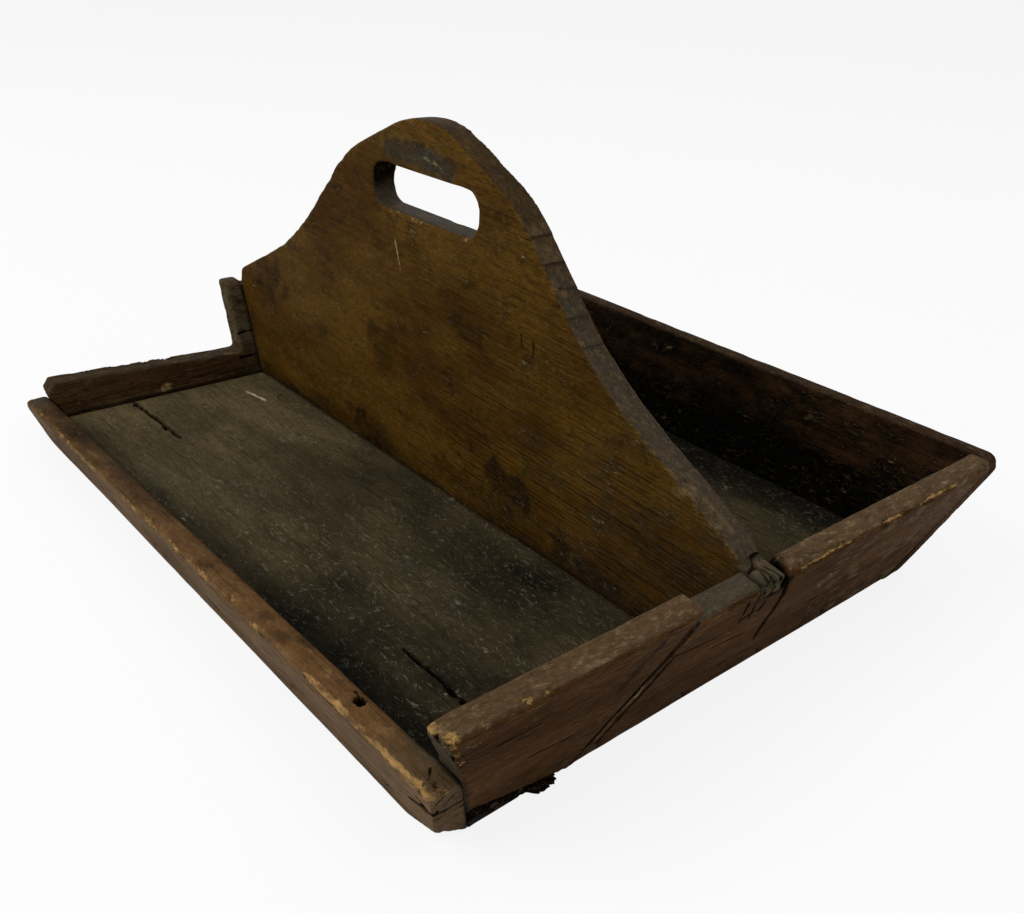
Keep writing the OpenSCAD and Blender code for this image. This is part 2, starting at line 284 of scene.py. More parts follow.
# %% [markdown]
# Hands, knives and cloths wear the edges first, and never evenly: a stretch is rounded smooth, and
# the next is still crisp. So the copy is smoothed twice, a little and a lot, and a slow noise chooses
# between the two all over the board. A share for each point, `rub`, can hold this back on the sides
# that no hand reached. How far a point sank tells where the edges are. There a quicker noise bites
# small dents, and the finish later rubs the colour thin, so the amount is kept as a layer. The faces
# get the shallow waves of a hand plane. Where a board touches its neighbour no hand can reach: there
# the joint stays tight, and it is darkened, partly for the dirt in it and partly as painted shade
# between the boards.

# %% Wear a board
BOARDS = [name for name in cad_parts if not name.endswith("nails")]
JOINT_REACH = 3.2
EDGE_SINK = 1.4
RUBBED_STRETCH, DENT, PLANE_WAVE, PLANE_RIPPLE = 26, 6, 34, 7


def closeness(points, node):
    corners, faces = [], []
    for name in BOARDS:
        if name != node:
            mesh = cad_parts[name].data
            faces += [[len(corners) + i for i in face.vertices] for face in mesh.polygons]
            corners += [corner.co for corner in mesh.vertices]
    others = BVHTree.FromPolygons(corners, faces)
    found = [others.find_nearest(point, JOINT_REACH * MM)[3] for point in points]
    away = np.array([JOINT_REACH if gap is None else gap / MM for gap in found])
    return np.clip(1.15 - away / JOINT_REACH, 0, 1)


def wear(piece, node, crisp, soft, seed, rub=1.0, grain=(4, 1, 1), waves=0.35, bites=2.0):
    start = read(piece)
    tight, little, much = smoothed(piece, 2), smoothed(piece, crisp), smoothed(piece, soft)
    joint = closeness(start, node)
    share = rub * np.clip(0.45 + 1.1 * field(start, RUBBED_STRETCH, seed, grain), 0, 1)
    points = little + (much - little) * share[:, None]
    points += (tight - points) * joint[:, None]
    write(piece, points)
    normals = read(piece, "normal")
    sunk = np.einsum("ij,ij->i", start - much, normals) / MM
    edge = np.clip(sunk / EDGE_SINK, 0, 1) * (1 - joint)
    bitten = np.zeros(len(points))
    rim = edge > 0.05
    bitten[rim] = np.clip(field(points[rim], DENT, seed + 3, np.sqrt(grain)) - 0.08, 0, 1) * edge[rim]
    broad = 0.5 - 0.5 * field(points, PLANE_WAVE, seed + 1, grain)
    fine = 0.5 - 0.5 * field(points, PLANE_RIPPLE, seed + 2, grain)
    depth = waves * (broad + 0.3 * fine) * (1 - joint) + bites * bitten
    write(piece, points - normals * depth[:, None] * MM)
    attribute(piece, "worn", edge * (0.55 + 0.5 * share) + bitten)
    # Darker along the joints: partly dirt, partly painted shade between the boards
    attribute(piece, "stain", 0.65 * joint**2)
    attribute(piece, "lines", np.ones(len(points)))
    for name in ("fresh", "top", "dust", "crack"):
        attribute(piece, name, np.zeros(len(points)))


print("boards to wear:", BOARDS)

# %% [markdown]
# Damage comes in a few kinds. A scoop presses a ragged hollow into a face or an edge, steep at its rim
# and flat inside, and a run of scoops of unequal size makes a chipped edge. Rounding off smooths one
# corner more than the rest. All of them start at the point of the board nearest to the place given, so
# the place, in mm, need not lie exactly on the worn surface.

# %% Hollows, chips and rounded corners
TINY = 1e-12
MISSED = 8


def nearest(piece, place):
    points = read(piece)
    away = np.linalg.norm(points - np.array(place) * MM, axis=1)
    if away.min() > MISSED * MM:
        print("far from", piece.name, place)
    return points[away.argmin()] / MM


def scoop(piece, place, size, depth, fresh=0.0, stain=0.0, black=0.0, seed=1, ragged=0.4):
    points = read(piece)
    away = np.linalg.norm((points / MM - nearest(piece, place)) / np.array(size), axis=1)
    close = away < 1.6
    away[close] += ragged * field(points[close], 0.4 * min(size), seed)
    amount = np.clip(2.2 * (1 - away), 0, 1) * close
    inward = -(read(piece, "normal") * amount[:, None]).sum(axis=0)
    inward /= np.linalg.norm(inward) + TINY
    write(piece, points + inward * (amount * depth * MM)[:, None])
    mark(piece, "fresh", fresh * amount**2)
    mark(piece, "stain", stain * amount)
    mark(piece, "crack", black * np.clip(6 * amount, 0, 1))


def chips(piece, start, end, count, size, depth, seed, fresh=0.0, stain=0.0):
    chance = np.random.default_rng(seed)
    for turn, (share, scale, bright) in enumerate(chance.random((count, 3))):
        place = np.array(start) * (1 - share) + np.array(end) * share
        part = 0.4 + 0.6 * scale
        scoop(piece, place, np.array(size) * part, depth * part, fresh * (0.4 + 0.6 * bright),
              stain * bright, seed=seed + turn, ragged=0.7)


def round_off(piece, place, reach, passes):
    points = read(piece)
    away = np.linalg.norm(points / MM - nearest(piece, place), axis=1)
    share = np.clip(1.6 * (1 - away / reach), 0, 1)
    write(piece, points + (smoothed(piece, passes) - points) * share[:, None])


# %% [markdown]
# Cracks, knife cuts and stains run along a path of a few places, which is first laid on the surface. A
# smear changes no shape and only marks a layer. A groove is cut into the board: the grid is made finer
# along it, its points are pushed in, and its inside is marked fresh or black. The black reaches just
# past the lips of a crack, because the edge of a real one is broken and dirty too.

# %% Smears and grooves
FINEST = 0.55
GROOVE_MARGIN = 1.2
HAIR_CRACK = 0.12
BLACK_LIP = 0.35


def path_distance(points, path):
    nearest_yet = np.full(len(points), np.inf)
    along = np.zeros(len(points))
    lengths = [np.linalg.norm(np.subtract(b, a)) for a, b in zip(path, path[1:])]
    done = 0.0
    for a, b, length in zip(path, path[1:], lengths):
        a, b = np.array(a) * MM, np.array(b) * MM
        share = np.clip((points - a) @ (b - a) / max((b - a) @ (b - a), TINY), 0, 1)
        away = np.linalg.norm(points - a - share[:, None] * (b - a), axis=1)
        closer = away < nearest_yet
        nearest_yet[closer] = away[closer]
        along[closer] = (done + share[closer] * length) / max(sum(lengths), TINY)
        done += length
    return nearest_yet / MM, along


def along_surface(piece, path, step=2.5):
    stops = []
    for start, end in zip(path, path[1:]):
        count = max(1, round(np.linalg.norm(np.subtract(end, start)) / step))
        stops += [np.array(start) + np.subtract(end, start) * i / count for i in range(count)]
    return [nearest(piece, stop) for stop in [*stops, path[-1]]]


def smear(piece, layer, path, width, strength, seed=1, ragged=0.5):
    points = read(piece)
    away, _ = path_distance(points, along_surface(piece, path, 6.0))
    close = away < 2 * width
    away[close] += ragged * width * field(points[close], 0.6 * width, seed)
    mark(piece, layer, strength * np.clip(1.8 * (1 - away / width), 0, 1) * close)


def refine(piece, path, reach, cuts):
    away, _ = path_distance(read(piece), path)
    bm = bmesh.new()
    bm.from_mesh(piece.data)
    bm.verts.ensure_lookup_table()
    edges = [e for e in bm.edges
             if max(away[v.index] for v in e.verts) < reach and e.calc_length() > FINEST * MM]
    bmesh.ops.subdivide_edges(bm, edges=edges, cuts=cuts, use_grid_fill=True)
    bmesh.ops.triangulate(bm, faces=[f for f in bm.faces if len(f.verts) > 4])
    bm.to_mesh(piece.data)
    bm.free()


def groove(piece, path, width, depth, fresh=0.0, black=0.0, waver=0.5, seed=1, cuts=2, taper=True):
    refine(piece, along_surface(piece, path), width + GROOVE_MARGIN, cuts)
    points = read(piece)
    away, along = path_distance(points, along_surface(piece, path))
    close = away < width + waver + 1
    away[close] += waver * field(points[close], 3.0, seed)
    starting, ending = np.clip(8 * along + 0.25, 0, 1), np.clip(8 * (1 - along) + 0.25, 0, 1)
    wide = width * starting * (1 - along if taper else ending) + HAIR_CRACK
    amount = np.clip(1 - away / wide, 0, 1) * close
    push = read(piece, "normal") * (np.sqrt(amount) * depth * MM)[:, None]
    write(piece, points - push)
    mark(piece, "fresh", fresh * np.clip(2 * amount, 0, 1))
    mark(piece, "crack", black * close * np.clip(3 * (1 - away / (wide + BLACK_LIP)), 0, 1))


# %% [markdown]
# A finished board is kept inside the box of the frame, gets its material and is shaded smooth. It
# rides on the tray's only body, and takes the place of its solid, which is hidden.


def finish_board(piece, node, material):
    low, high = (np.array(corner) for corner in cad_box)
    write(piece, np.clip(read(piece), low, high))
    piece.data.materials.append(material)
    piece.data.polygons.foreach_set("use_smooth", [True] * len(piece.data.polygons))
    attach(piece, "root")
    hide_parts(node)
    print(piece.name, "triangles:", sum(len(p.vertices) - 2 for p in piece.data.polygons))


# %% [markdown]
# All boards are old pine, sawn and planed by hand, so one recipe serves them all. Year rings are rings
# round the pith of the log: drawn in three dimensions they give long lines on the faces and arcs on the
# end grain without any unwrapping. They waver along the grain and fade in and out. Fibres and pores
# are noise drawn out along the grain, and rounder noises give broad tones, dirt and fine mottling.

# %% Grain of pine
FLAT, LONG_UPRIGHT, CROSS_UPRIGHT = (0, 0), (-90, 0), (-90, -90)
WAVE_PERIOD = math.pi / 10

# Length, width and thickness in mm, detail and roughness. Real fibres and pores are too fine to show
# in the picture, so they are drawn about a millimetre wide.
NOISES = {"fibre": ((60, 1.0, 1.0), 3, 0.5), "pores": ((15, 0.6, 0.6), 1, 0.5),
          "tone": ((90, 30, 30), 5, 0.6), "blotch": ((15, 9, 9), 5, 0.68),
          "mottle": ((5, 2.4, 2.4), 4, 0.72), "fine": ((2.4, 1.0, 1.0), 3, 0.7)}


def per_mm(*sizes):
    return tuple(1 / (size * MM) for size in sizes)


def grain_noises(tree, grain):
    noises = {}
    for part, (sizes, detail, roughness) in NOISES.items():
        spread = add(tree, "Mapping", {"Vector": grain, "Scale": per_mm(*sizes)})
        noises[part] = add(tree, "TexNoise", {"Vector": spread, "Scale": 1.0, "Detail": detail,
                                              "Roughness": roughness}).outputs["Fac"]
    return noises


def year_lines(tree, grain, noises, marks, ring, pith, lines):
    log = add(tree, "Mapping", {"Vector": grain, "Location": (0, -pith[0] * MM, -pith[1] * MM),
                                "Scale": (0.14, 1, 1)})
    rings = add(tree, "TexWave", {"Vector": log, "Scale": WAVE_PERIOD / (ring * MM), "Distortion": 11.0,
                                  "Detail": 4.0, "Detail Scale": 0.24, "Detail Roughness": 0.62},
                wave_type="RINGS", rings_direction="X", wave_profile="SAW")
    late_wood = add(tree, "MapRange", {"Value": rings.outputs["Fac"], "From Min": 0.45,
                                       "From Max": 0.88}, **SMOOTH)
    broken = add(tree, "MapRange", {"Value": noises["fibre"], "From Min": 0.42, "From Max": 0.66,
                                    "To Min": 0.2 * lines, "To Max": lines}, **SMOOTH)
    shown = add(tree, "Math", {0: broken, 1: marks["lines"]}, operation="MULTIPLY")
    return add(tree, "Math", {0: late_wood, 1: shown}, operation="MULTIPLY")


# %% [markdown]
# The colour grows in layers, each mixed over the last. Bare wood has broad tones first, then the year
# lines, dark and pale streaks, dirt and pores. Upper edges are another layer: dull and dusty, with
# paler spots where they are rubbed.

# %% Bare wood and dusty edges
def bare_wood(tree, noises, marks, line, tints, fibres, grime):
    cloud = add(tree, "MapRange", {"Value": noises["tone"], "From Min": 0.34, "From Max": 0.64}, **SMOOTH)
    vivid = add(tree, "Math", {0: marks["lines"], 1: 0.7, 2: 0.3}, operation="MULTIPLY_ADD")
    streak = add(tree, "MapRange", {"Value": noises["fibre"], "From Min": 0.52, "From Max": 0.76,
                                    "To Max": 0.7 * fibres}, **SMOOTH)
    streak = add(tree, "Math", {0: streak, 1: vivid}, operation="MULTIPLY")
    glint = add(tree, "MapRange", {"Value": noises["fibre"], "From Min": 0.46, "From Max": 0.26,
                                   "To Max": 0.55 * fibres}, **SMOOTH)
    dirt = add(tree, "MapRange", {"Value": noises["blotch"], "From Min": 0.52, "From Max": 0.76,
                                  "To Max": grime}, **SMOOTH)
    pore = add(tree, "MapRange", {"Value": noises["pores"], "From Min": 0.6, "From Max": 0.72}, **SMOOTH)
    pore = add(tree, "Math", {0: pore, 1: vivid}, operation="MULTIPLY")
    colour = tints["mid"]
    for amount, tint in ((cloud, "pale"), (line, "dark"), (streak, "dark"), (glint, "pale"),
                         (dirt, "stain"), (pore, "stain")):
        colour = add(tree, "Mix", {0: amount, 6: colour, 7: tints[tint]}, **RGBA)
    return colour, streak, dirt, pore


def dusty_edges(tree, noises, streak, dirt, tints):
    bare = add(tree, "MapRange", {"Value": noises["mottle"], "From Min": 0.54, "From Max": 0.72,
                                  "To Max": 0.6}, **SMOOTH)
    faded = add(tree, "MapRange", {"Value": noises["blotch"], "From Min": 0.46, "From Max": 0.3,
                                   "To Max": 0.6}, **SMOOTH)
    colour = tints["top"]
    for amount, tint in ((streak, "dark"), (dirt, "stain"), (bare, "worn"), (faded, "worn")):
        colour = add(tree, "Mix", {0: amount, 6: colour, 7: tints[tint]}, **RGBA)
    return colour


# %% [markdown]
# On top come a century of dirt and handling, and the painted shade kept in the same layer as the dirt,
# steered by the layers that the wear has left on the mesh.
# The dirt noise makes them uneven, so that no mark has a plain outline. Fine scratches are thin level
# lines of a drawn-out noise, in four directions, broken into short lengths by a second noise.

# %% Wear marks and scratches
HOUSE_DUST = "#3b382d"
# Turn in degrees, length and width in mm of the noise, and how rare they are
SCRATCHES = ((3, 22, 1.5, 0.53), (-13, 15, 1.5, 0.55), (35, 9, 1.7, 0.55), (-60, 7, 1.7, 0.57))


def uneven_edges(tree, noises):
    uneven = add(tree, "Math", {0: noises["blotch"], 1: 2.0, 2: -1.0}, operation="MULTIPLY_ADD")
    gritty = add(tree, "Math", {0: noises["mottle"], 1: 1.2, 2: -0.6}, operation="MULTIPLY_ADD")
    return add(tree, "Math", {0: uneven, 1: gritty}, operation="ADD")


def wear_marks(tree, colour, uneven, marks, tints, blots):
    rubbed = add(tree, "Math", {0: marks["worn"], 1: uneven}, operation="ADD")
    rubbed = add(tree, "MapRange", {"Value": rubbed, "From Min": 0.35, "From Max": 1.1,
                                    "To Max": 0.8}, **SMOOTH)
    # Dirt and stains, and the painted shade kept with them, darken towards the stain colour
    soiled_and_shaded = add(tree, "Math", {0: uneven, 1: blots, 2: marks["stain"]}, operation="MULTIPLY_ADD")
    soiled_and_shaded = add(tree, "MapRange", {"Value": soiled_and_shaded, "From Min": 0.02, "From Max": 0.95}, **SMOOTH)
    powder = add(tree, "Math", {0: uneven, 1: 0.4, 2: marks["dust"]}, operation="MULTIPLY_ADD")
    powder = add(tree, "MapRange", {"Value": powder, "From Min": 0.05, "From Max": 1.0,
                                    "To Max": 0.85}, **SMOOTH)
    for amount, tint in ((rubbed, tints["worn"]), (soiled_and_shaded, tints["stain"]), (powder, linear(HOUSE_DUST))):
        colour = add(tree, "Mix", {0: amount, 6: colour, 7: tint}, **RGBA)
    return colour


def fine_scratches(tree, grain):
    scratches = 0.0
    for turned, length, width, rare in SCRATCHES:
        aside = add(tree, "Mapping", {"Vector": grain, "Rotation": (0, 0, math.radians(turned))})
        drawn = add(tree, "Mapping", {"Vector": aside, "Scale": per_mm(length, width, width)})
        wander = add(tree, "TexNoise", {"Vector": drawn, "Scale": 1.0, "Detail": 2.0})
        away = add(tree, "Math", {0: wander, 1: 0.5}, operation="SUBTRACT")
        away = add(tree, "Math", {0: away}, operation="ABSOLUTE")
        hair = add(tree, "MapRange", {"Value": away, "From Min": 0.024, "From Max": 0.004}, **SMOOTH)
        breaks = add(tree, "Mapping", {"Vector": aside, "Scale": per_mm(5, 2.0, 2.0)})
        breaks = add(tree, "TexNoise", {"Vector": breaks, "Scale": 1.0, "Detail": 1.0})
        length_left = add(tree, "MapRange", {"Value": breaks, "From Min": rare,
                                             "From Max": rare + 0.16}, **SMOOTH)
        hair = add(tree, "Math", {0: hair, 1: length_left}, operation="MULTIPLY")
        scratches = add(tree, "Math", {0: hair, 1: scratches}, operation="MAXIMUM")
    return scratches


# %% [markdown]
# The recipe puts the layers together and adds the smallest things: dark pits and pale crumbs of
# bruised fibre about a millimetre across, broken wood, a mottling over all, and last the black inside
# of cracks and holes. The relief raises late wood and sinks pores and scratches, a few tenths of a
# millimetre. Each board calls it with its own colours, since light, soap and hands treated each of
# them in its own way. Old dry wood hardly shines, so its specular level is low.

# %% Old pine
CRACK_BLACK = "#070503"
LAYERS = ("top", "stain", "worn", "fresh", "lines", "dust", "crack")


def old_pine(name, lay, slope, ring=3.2, pith=(95, 60), lines=0.6, fibres=1.0, grime=0.65, scratch=0.5,
             flecks=0.5, mottling=0.3, blots=0.5, rough=(0.5, 0.68), **hex_colours):
    material, tree = new_material(name)
    tints = {part: linear(colour) for part, colour in hex_colours.items()}
    here = add(tree, "TexCoord").outputs["Object"]
    turn = tuple(math.radians(angle) for angle in (*lay, slope))
    grain = add(tree, "Mapping", {"Vector": here, "Rotation": turn})
    marks = {layer: add(tree, "Attribute", attribute_name=layer).outputs["Fac"] for layer in LAYERS}
    noises = grain_noises(tree, grain)
    line = year_lines(tree, grain, noises, marks, ring, pith, lines)
    colour, streak, dirt, pore = bare_wood(tree, noises, marks, line, tints, fibres, grime)
    dusty = dusty_edges(tree, noises, streak, dirt, tints)
    colour = add(tree, "Mix", {0: marks["top"], 6: colour, 7: dusty}, **RGBA)
    uneven = uneven_edges(tree, noises)
    colour = wear_marks(tree, colour, uneven, marks, tints, blots)

    # Scratches and crumbs come in patches, pits everywhere, broken wood where the shape is broken
    patchy = add(tree, "Math", {0: noises["tone"], 1: noises["blotch"]}, operation="ADD")
    patchy = add(tree, "MapRange", {"Value": patchy, "From Min": 0.85, "From Max": 1.12,
                                    "To Min": 0.15 * scratch, "To Max": scratch}, **SMOOTH)
    scored = add(tree, "Math", {0: fine_scratches(tree, grain), 1: patchy}, operation="MULTIPLY")
    pit = add(tree, "MapRange", {"Value": noises["fine"], "From Min": 0.6, "From Max": 0.74,
                                 "To Max": flecks}, **SMOOTH)
    crumb = add(tree, "MapRange", {"Value": noises["fine"], "From Min": 0.38, "From Max": 0.27,
                                   "To Max": flecks}, **SMOOTH)
    crumb = add(tree, "Math", {0: crumb, 1: patchy, 2: crumb}, operation="MULTIPLY_ADD")
    split = add(tree, "Math", {0: marks["fresh"], 1: uneven}, operation="ADD")
    split = add(tree, "MapRange", {"Value": split, "From Min": 0.3, "From Max": 0.9}, **SMOOTH)
    for amount, tint in ((scored, "worn"), (pit, "stain"), (crumb, "worn"), (split, "fresh")):
        colour = add(tree, "Mix", {0: amount, 6: colour, 7: tints[tint]}, **RGBA)

    # Mottling and cracks
    shade = add(tree, "Math", {0: noises["mottle"], 1: noises["fine"]}, operation="ADD")
    shade = add(tree, "MapRange", {"Value": shade, "From Min": 0.7, "From Max": 1.3,
                                   "To Min": 1 - mottling, "To Max": 1 + mottling})
    colour = add(tree, "Mix", {0: 1.0, 6: colour, 7: shade}, blend_type="MULTIPLY", **RGBA)
    colour = add(tree, "Mix", {0: marks["crack"], 6: colour, 7: linear(CRACK_BLACK)}, **RGBA)

    # Relief and gloss
    relief = add(tree, "Math", {0: line, 1: 0.5, 2: noises["fibre"]}, operation="MULTIPLY_ADD")
    for part, height in ((noises["mottle"], 0.9), (noises["fine"], -0.5), (pore, -0.6), (scored, -0.8)):
        relief = add(tree, "Math", {0: part, 1: height, 2: relief}, operation="MULTIPLY_ADD")
    bump = add(tree, "Bump", {"Height": relief, "Strength": 0.6, "Distance": 0.5 * MM})
    gloss = add(tree, "MapRange", {"Value": noises["tone"], "From Min": 0.3, "From Max": 0.7,
                                   "To Min": rough[1], "To Max": rough[0]})
    wood = add(tree, "BsdfPrincipled", {"Base Color": colour, "Roughness": gloss, "IOR": 1.48,
                                        "Specular IOR Level": 0.015, "Normal": bump})
    add(tree, "OutputMaterial", {"Surface": wood})
    return material


# %% [markdown]
# The floor is a wide board that was scoured for years: its colour has gone to a grey brown, darker
# towards the near end, and knives and forks have left it full of fine pale scratches. It dried and
# cracked from both ends, at about the same distance from the middle.

# %% Floor board
# Scoured pine: matt and grey, because soap took the oil out of it
# Its stain colour also paints the shade of the right compartment and along the walls
scoured_pine = old_pine(
    "scoured_grey_pine", FLAT, 0, pale="#574c33", mid="#423927", dark="#2c2519", top="#3c3423",
    worn="#7d7663", fresh="#a0957b", stain="#11100c", ring=4.5, pith=(-40, -70), lines=0.35,
    fibres=0.6, grime=0.18, scratch=0.65, flecks=0.25, mottling=0.4, blots=0.22, rough=(0.5, 0.72))
FLOOR_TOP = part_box("floor_board")[1].z / MM

floor_board = even_copy("floor_board", 1.6)
wear(floor_board, "floor_board", 3, 8, seed=3)
points = read(floor_board)
x, y, _ = (points / MM).T
# Darker towards the near end, and darker in the right compartment: there partly dirt, partly painted shade of
# the divider
shade = 0.03 + 0.6 * ramp(x, -150, 100) * (y < 0) + 0.5 * (y > 0)
# Darker along the foot of both walls: partly dirt, partly painted shade in the corners
shade += 0.4 * ramp(y, 105, 130) + 0.25 * ramp(y, -118, -130)
shade += 0.28 * field(points, 44, 7, (2, 1, 1)) + 0.14 * field(points, 15, 8, (1.6, 1, 1))
mark(floor_board, "stain", shade)
attribute(floor_board, "lines", np.full(len(points), 0.5))
for left, near, width in ((70, -70, 22), (-40, -95, 16), (-95, -45, 14)):
    smear(floor_board, "worn", [(left - 12, near, FLOOR_TOP), (left + 12, near, FLOOR_TOP)], width, 0.4,
          seed=width, ragged=0.8)

# The two drying cracks, a pale cut, and bruises round the near crack
groove(floor_board, [(-178, -99.5, FLOOR_TOP), (-150, -98, FLOOR_TOP), (-116, -97, FLOOR_TOP)],
       0.9, 6.0, black=1.0, seed=5, cuts=3, taper=False)
groove(floor_board, [(178, -105, FLOOR_TOP), (146, -105.5, FLOOR_TOP), (108, -106, FLOOR_TOP)],
       0.75, 5.0, black=1.0, seed=6, cuts=3, taper=False)
groove(floor_board, [(-155, -38, FLOOR_TOP), (-136, -35, FLOOR_TOP)],
       1.1, 0.3, fresh=1.0, waver=0.1, cuts=3, taper=False)
chips(floor_board, (138, -112, FLOOR_TOP), (150, -92, FLOOR_TOP), 6, (4, 4, 3), 1.0, 8, fresh=0.5)
finish_board(floor_board, "floor_board", scoured_pine)

# %% [markdown]
# The divider is the best preserved board: oil and hands gave it an amber colour, with dark grain lines
# towards its lower near end. The grip is rounded by use. Its upper edge was cut with a knife on the
# near slope, which left a few facets of unequal width: each is a shallow hollow with a tone of its own.

# %% Divider and its facets
# Oiled pine: amber and smoother than the rest, because oil sinks into the pale wood between the lines
# Its stain colour is dark enough to paint the shade at the far end of the hand hole as well
oiled_pine = old_pine(
    "oiled_amber_pine", LONG_UPRIGHT, 2.5, pale="#50380f", mid="#382309", dark="#140a03", top="#3f3427",
    worn="#6b573a", fresh="#86714a", stain="#0e0703", ring=1.8, pith=(165, 70), lines=1.0,
    scratch=0.45, flecks=0.34, mottling=0.45, blots=0.4, rough=(0.42, 0.6))
HANDLE_X, HANDLE_LOW, HANDLE_HIGH, HANDLE_REACH = -8.5, 148, 179, 46
FACETS = (56, 67, 76, 84, 93, 103, 113)
FACET_HOLLOW = 4.2

divider = even_copy("divider_handle", 1.15)
rub = 0.3 + 0.7 * ramp(read(divider)[:, 2] / MM, 176, 190)
wear(divider, "divider_handle", 4, 34, seed=11, rub=rub, waves=0.5, bites=1.6)
points, normals = read(divider), read(divider, "normal")
x, y, z = (points / MM).T
rim = np.clip(1.35 - 1.6 * np.abs(normals[:, 1]), 0, 1)
in_hole = rim * (z > HANDLE_LOW) * (z < HANDLE_HIGH) * (np.abs(x - HANDLE_X) < HANDLE_REACH)
upper = rim * (normals[:, 2] > 0.2) * (1 - in_hole)
slope = ramp(x, 40, 90)
attribute(divider, "top", np.maximum(rim * (0.4 + 0.6 * slope), in_hole))
attribute(divider, "lines", 0.1 + 0.4 * ramp(x, -30, 80) + 0.5 * ramp(z, 95, 45) * ramp(x, -50, 30))

facet = np.clip(np.searchsorted(FACETS, x) - 1, 0, len(FACETS) - 2)
within = ramp(x, np.array(FACETS)[facet], np.array(FACETS)[facet + 1])
cut = upper * ramp(x, FACETS[0], FACETS[0] + 9) * ramp(x, FACETS[-1], FACETS[-1] - 9)
write(divider, points - normals * (cut * FACET_HOLLOW * within * (1 - within))[:, None] * MM)
tones = np.random.default_rng(5).random(len(FACETS))[facet]
mark(divider, "worn", cut * (0.05 + 0.6 * tones) + upper * (0.1 * slope + 0.15 * ramp(x, 110, 130)))
mark(divider, "stain", cut * 0.85 * ramp(within, 0.2, 0))
mark(divider, "stain", upper * (0.45 * (1 - slope) + 0.2 * slope * ramp(x, 125, 95)))
mark(divider, "dust", 0.42 * upper * slope)
print("points in the facets:", int((cut > 0).sum()))

# %% [markdown]
# Dirt settles where cloths don't reach. Inside the hand hole the far end is painted black as shade,
# and its floor below is grey with the marks of a tool. Along the foot the face is darker, partly dirt
# and partly painted shade where it stands on the floor. Dirt is thick above the hole, where hands were
# never clean. Smoke has left soft clouds on the faces, and a few spills have left stains with ragged edges.

# %% Dirt and painted shade on the divider
LEFT_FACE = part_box("divider_handle")[0].y / MM
# Left end, right end, height and width in mm, and how dark
SPILLS = ((-66, -52, 29, 8, 0.6), (52, 74, 45, 11, 0.62), (100, 130, 26, 10, 0.6), (-170, -155, 88, 18, 0.45),
          (-46, -42, 80, 16, 0.45), (20, 34, 112, 9, 0.4), (10, 40, 33, 8, 0.45))

hole_floor = in_hole * (normals[:, 2] > 0.3)
# Painted shade: the far end of the hand hole is made black
mark(divider, "stain", in_hole * ramp(x, HANDLE_X - 33, HANDLE_X - 39) * ramp(z, 157, 166))
mark(divider, "stain", hole_floor * 0.4 * (np.sin(2.1 * x + 0.6 * y) > 0.5))
mark(divider, "dust", hole_floor * 0.6)

face = np.abs(normals[:, 1]) > 0.8
foot_height = 34 + 9 * field(points, 30, 4, (2, 1, 1))
foot = ramp(z, foot_height, foot_height - 16) * (y < -8)
smoke = np.clip(0.9 * field(points, 42, 6, (1, 1, 1.5)) + 0.4 * field(points, 15, 8, (1.6, 1, 1)), 0, 1)
# The band along the foot is partly dirt, partly painted shade where the divider stands on the floor
mark(divider, "stain", 0.6 * foot + face * (0.4 * smoke + 0.2 * ramp(x, 50, 160)))
mark(divider, "dust", face * 0.26 * ramp(x, 10, 120) * ramp(z, 120, 70))
soot = [(-35, LEFT_FACE, 182.5), (-14, LEFT_FACE, 183), (11, LEFT_FACE, 181)]
smear(divider, "dust", soot, 7.5, 0.55, seed=2, ragged=0.5)
smear(divider, "stain", soot, 7.5, 0.62, seed=3, ragged=0.5)
for left, right, height, width, dark in SPILLS:
    smear(divider, "stain", [(left, LEFT_FACE, height), (right, LEFT_FACE, height - 2)], width, dark,
          seed=height, ragged=0.9)
print("spills:", len(SPILLS))

# %% [markdown]
# Last come the knocks: a long pale scratch, two short dark cuts, chips along the near arris and under
# the hand hole. The near tongue stands open in its slot. It is worn round, a crack parts it from the
# slope above, and its end grain has split in a fan.

# %% Knocks on the divider
groove(divider, [(-31, LEFT_FACE, 140), (-28, LEFT_FACE, 132), (-25.5, LEFT_FACE, 124)], 0.7, 0.3,
       fresh=0.9, waver=0.2)
for left, high in ((66, 121), (74, 119)):
    groove(divider, [(left, LEFT_FACE, high), (left + 1, LEFT_FACE, high - 6)], 0.45, 0.6,
           black=0.7, waver=0.3)
chips(divider, (100, LEFT_FACE, 133), (150, LEFT_FACE, 100), 3, (6, 3, 3), 0.8, 3, fresh=0.2)
chips(divider, (152, LEFT_FACE + 2, 100), (182, LEFT_FACE + 2, 85), 5, (5, 4, 3), 1.0, 5, fresh=0.4)
chips(divider, (-40, LEFT_FACE, 153), (28, LEFT_FACE, 154), 7, (3, 2, 2), 0.5, 4, fresh=0.5)
smear(divider, "worn", [(164, LEFT_FACE + 3, 93), (184, LEFT_FACE + 5, 84)], 7, 0.6, seed=6, ragged=0.7)

round_off(divider, (210, -8, 69), 11, 70)
smear(divider, "dust", [(206, -13, 68), (206, -3, 68)], 10, 0.75, seed=3)
smear(divider, "worn", [(203, -8, 71), (208, -8, 62)], 9, 0.7, seed=4)
chips(divider, (208, -14, 66), (208, -2, 66), 5, (3.5, 3, 4), 1.2, 6, fresh=0.2)
groove(divider, [(201, -16, 70.5), (199.5, -12, 72), (198.2, -7, 72.5), (197, -1, 72.5)], 0.5, 1.6,
       black=0.8, waver=0.6, seed=9, cuts=3, taper=False)
for across, lean, low in ((-12.5, 3.0, 60), (-9.5, 1.2, 66), (-7, -0.6, 58), (-3.5, -2.4, 65)):
    groove(divider, [(209, across, low), (207, across + lean / 2, 69), (200, across + lean, 72)],
           0.5, 2.0, black=0.7, seed=int(20 + across), cuts=3)
finish_board(divider, "divider_handle", oiled_pine)

